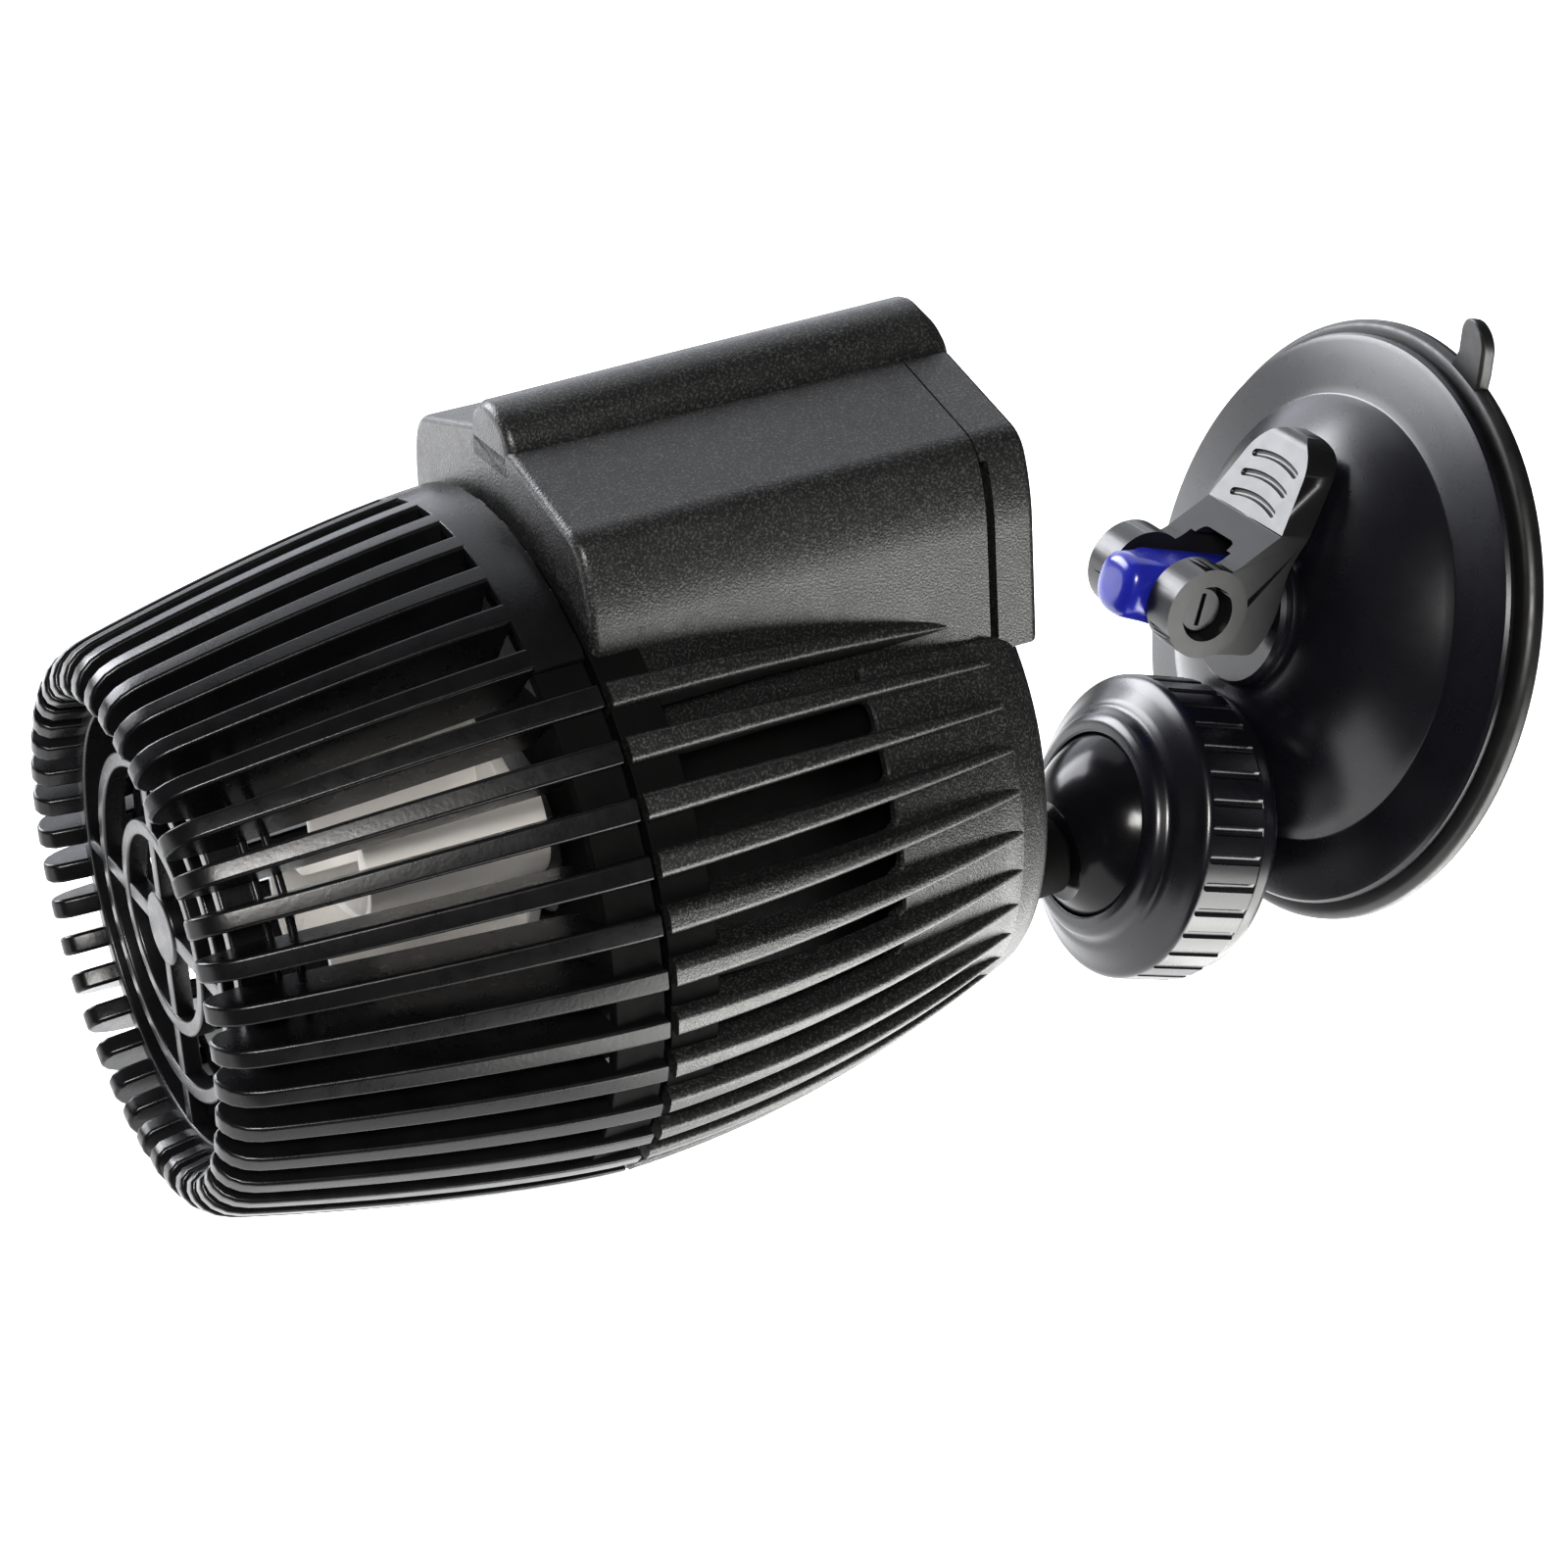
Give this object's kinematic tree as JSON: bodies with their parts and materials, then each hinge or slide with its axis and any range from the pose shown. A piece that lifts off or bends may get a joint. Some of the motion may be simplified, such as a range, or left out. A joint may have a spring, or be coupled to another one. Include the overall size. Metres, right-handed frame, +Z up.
{
  "type": "wave maker pump",
  "caption": "Submersible wave maker pump: barrel-shaped ribbed cage and housing with a motor block on top, on a swivel ball joint and a lever-locked suction cup",
  "frame": {"origin": "Centre of the suction pad's flat glass face", "axes": "+Y points out of the pad into the glass, +Z up, +X to the right seen from the pump's front; the pump hangs on the -Y side"},
  "size_m": [0.0796, 0.159, 0.1186],
  "materials": {
    "cage_black": "semi-gloss moulded black",
    "housing_black": "fine moulded grain, matte black",
    "mount_black": "semi-gloss moulded black",
    "lever_black": "satin moulded black",
    "ball_gloss": "polished black",
    "post_blue": "polished blue",
    "rubber_black": "soft moulded black",
    "impeller_white": "smooth warm white",
    "ceramic_white": "ground white",
    "magnet_grey": "sintered dark grey",
    "core_steel": "stacked laminations",
    "fastener_steel": "plain stainless",
    "winding_copper": "enamelled copper wire",
    "resin_black": "cast resin"
  },
  "bodies": {
    "mount": {"suction_pad": "rubber_black", "suction_dome": "mount_black"},
    "post": {"pull_post": "post_blue", "pull_plate": "fastener_steel", "lever_axle": "mount_black"},
    "lever": {"release_lever": "lever_black"},
    "swivel": {"socket_pad": "rubber_black"},
    "ball": {"ball": "ball_gloss"},
    "nut": {"clamp_nut": "mount_black"},
    "pump": {"ball_stud": "ball_gloss", "ball_screw": "fastener_steel", "rear_housing": "housing_black", "rear_cover": "housing_black", "cover_seal": "rubber_black", "cable_grommet": "rubber_black", "stator_core": "core_steel", "coil_bobbin": "impeller_white", "coil_winding": "winding_copper", "potting_resin": "resin_black", "ceramic_shaft": "ceramic_white", "shaft_bush_rear": "rubber_black", "thrust_washer": "ceramic_white", "well_cap": "housing_black", "cover_screw_1": "fastener_steel", "cover_screw_2": "fastener_steel", "cover_screw_3": "fastener_steel", "cover_screw_4": "fastener_steel"},
    "cage": {"front_cage": "cage_black"},
    "rotor": {"impeller": "impeller_white", "impeller_cap": "impeller_white", "rotor_magnet": "magnet_grey"}
  },
  "joints": [
    {"name": "post_slide", "type": "slide", "parent": "mount", "child": "post", "axis": [0, 1, 0], "range_m": [0, 0.002]},
    {"name": "lever_swing", "type": "hinge", "parent": "post", "child": "lever", "pos_m": [0, -0.0276, 0.002], "axis": [1, 0, 0], "range_deg": [0, 80]},
    {"name": "ball_yaw", "type": "hinge", "parent": "mount", "child": "swivel", "pos_m": [0, -0.0224, -0.0285], "axis": [0, 0, 1], "range_deg": [-18, 18]},
    {"name": "ball_pitch", "type": "hinge", "parent": "swivel", "child": "ball", "pos_m": [0, -0.0224, -0.0285], "axis": [1, 0, 0], "range_deg": [-25, 6]},
    {"name": "ball_roll", "type": "hinge", "parent": "ball", "child": "pump", "pos_m": [0, -0.0224, -0.0285], "axis": [0, 0.9472, 0.3206], "range_deg": [-90, 90]},
    {"name": "nut_turn", "type": "hinge", "parent": "mount", "child": "nut", "pos_m": [0, -0.0224, -0.0285], "axis": [0, 1, 0], "range_deg": [0, 90]},
    {"name": "cage_twist", "type": "hinge", "parent": "pump", "child": "cage", "pos_m": [0, -0.1056, -0.0328], "axis": [0, 0.9472, 0.3206], "range_deg": [0, 14]},
    {"name": "impeller_spin", "type": "hinge", "parent": "pump", "child": "rotor", "pos_m": [0, -0.1056, -0.0328], "axis": [0, 0.9472, 0.3206], "continuous": true}
  ],
  "couplings": [
    {"joint": "post_slide", "follows": "lever_swing", "m_per_rad": 0.0013}
  ]
}
